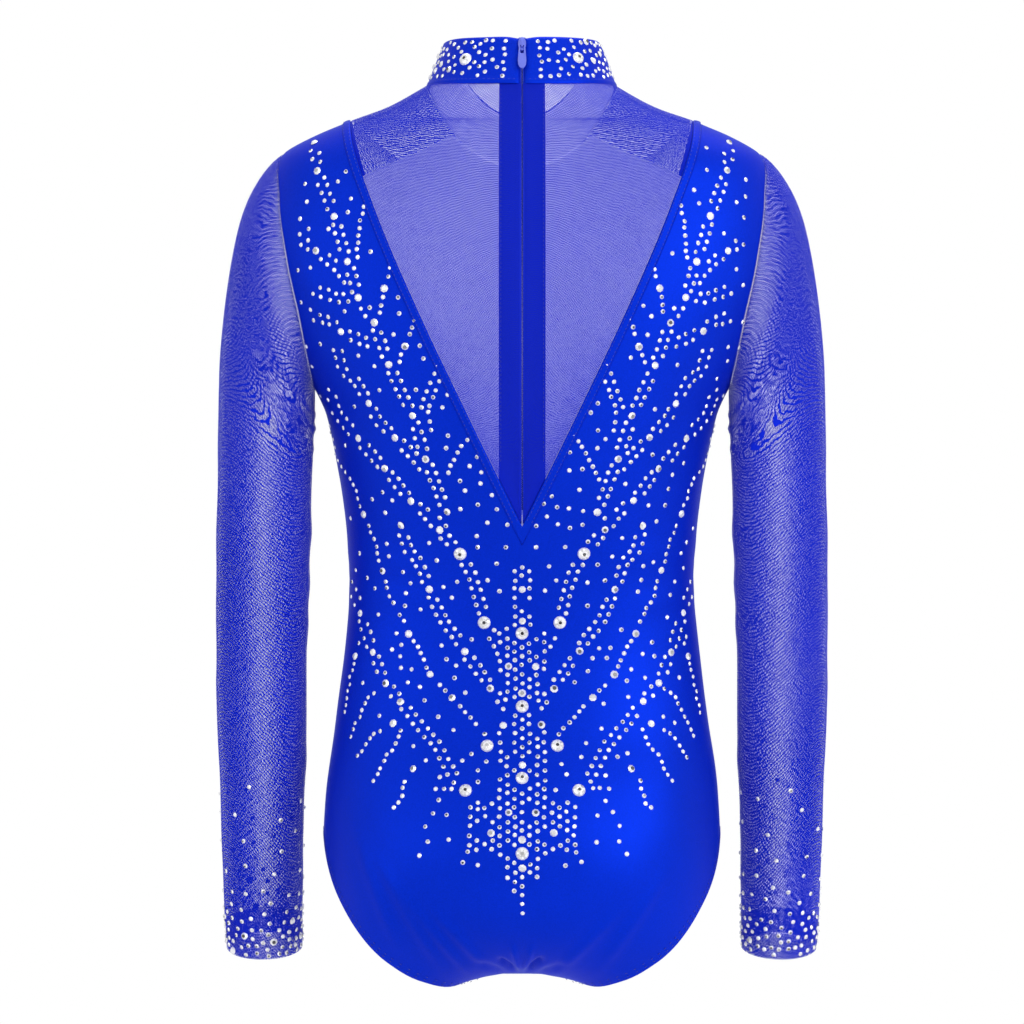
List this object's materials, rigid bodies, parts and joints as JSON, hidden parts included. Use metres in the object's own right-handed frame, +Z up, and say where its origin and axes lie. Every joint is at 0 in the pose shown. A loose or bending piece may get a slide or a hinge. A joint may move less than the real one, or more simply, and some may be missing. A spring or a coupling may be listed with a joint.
{
  "type": "gymnastics leotard",
  "caption": "Long-sleeved gymnastics leotard in royal blue satin with sheer mesh sleeves and V back, a stand collar, a back zip and rhinestones.",
  "frame": {"origin": "middle of the neck opening, level with the seam under the back of the collar", "axes": "+Z up through the neck, -Y out of the wearer's back where the zip is, +X to the wearer's right"},
  "size_m": [0.3902, 0.1828, 0.5979],
  "materials": {
    "satin": "glossy stretch satin, royal blue",
    "mesh": "sheer stretch mesh, royal blue",
    "trim": "matt knitted tape and overlocked edges, royal blue",
    "lining": "soft white knitted lining",
    "metal": "glossy lavender-blue enamel",
    "crystal": "clear faceted flat-back stones with a silver backing"
  },
  "bodies": {
    "garment": {"body_back": "satin", "body_front": "satin", "mesh_back_right": "mesh", "mesh_back_left": "mesh", "mesh_front": "mesh", "front_lining": "lining", "crotch_gusset": "satin", "sleeve_right": "mesh", "sleeve_left": "mesh", "collar_outer": "satin", "collar_lining": "satin", "v_facing_back": "satin", "v_facing_front": "satin", "armhole_seam_right": "trim", "armhole_seam_left": "trim", "side_seam_right": "trim", "side_seam_left": "trim", "shoulder_tape_right": "trim", "shoulder_tape_left": "trim", "sleeve_seam_right": "trim", "sleeve_seam_left": "trim", "wrist_hem_right": "trim", "wrist_hem_left": "trim", "leg_hem_right": "trim", "leg_hem_left": "trim", "leg_elastic_right": "trim", "leg_elastic_left": "trim", "zip_tape_right": "trim", "zip_tape_left": "trim", "zip_coil_right": "metal", "zip_coil_left": "metal", "zip_top_stop_right": "metal", "zip_top_stop_left": "metal", "zip_bottom_stop": "metal", "rhinestone_back_centre_1": "crystal", "rhinestone_back_centre_2": "crystal", "rhinestone_back_centre_3": "crystal", "rhinestone_back_centre_4": "crystal", "rhinestone_back_right_1": "crystal", "rhinestone_back_left_1": "crystal", "rhinestone_back_right_2": "crystal", "rhinestone_back_left_2": "crystal", "rhinestone_back_right_3": "crystal", "rhinestone_back_left_3": "crystal", "rhinestone_back_right_4": "crystal", "rhinestone_back_left_4": "crystal"},
    "slider": {"zip_slider": "metal"},
    "tab": {"pull_tab": "metal"}
  },
  "joints": [
    {"name": "zip_travel", "type": "hinge", "parent": "garment", "child": "slider", "pos_m": [0, 0.336, -0.15], "axis": [1, 0, 0], "range_deg": [0, 38.5]},
    {"name": "pull_tab_swing", "type": "hinge", "parent": "slider", "child": "tab", "pos_m": [0, -0.04926, 0.02405], "axis": [-1, 0, 0], "range_deg": [0, 150]}
  ]
}
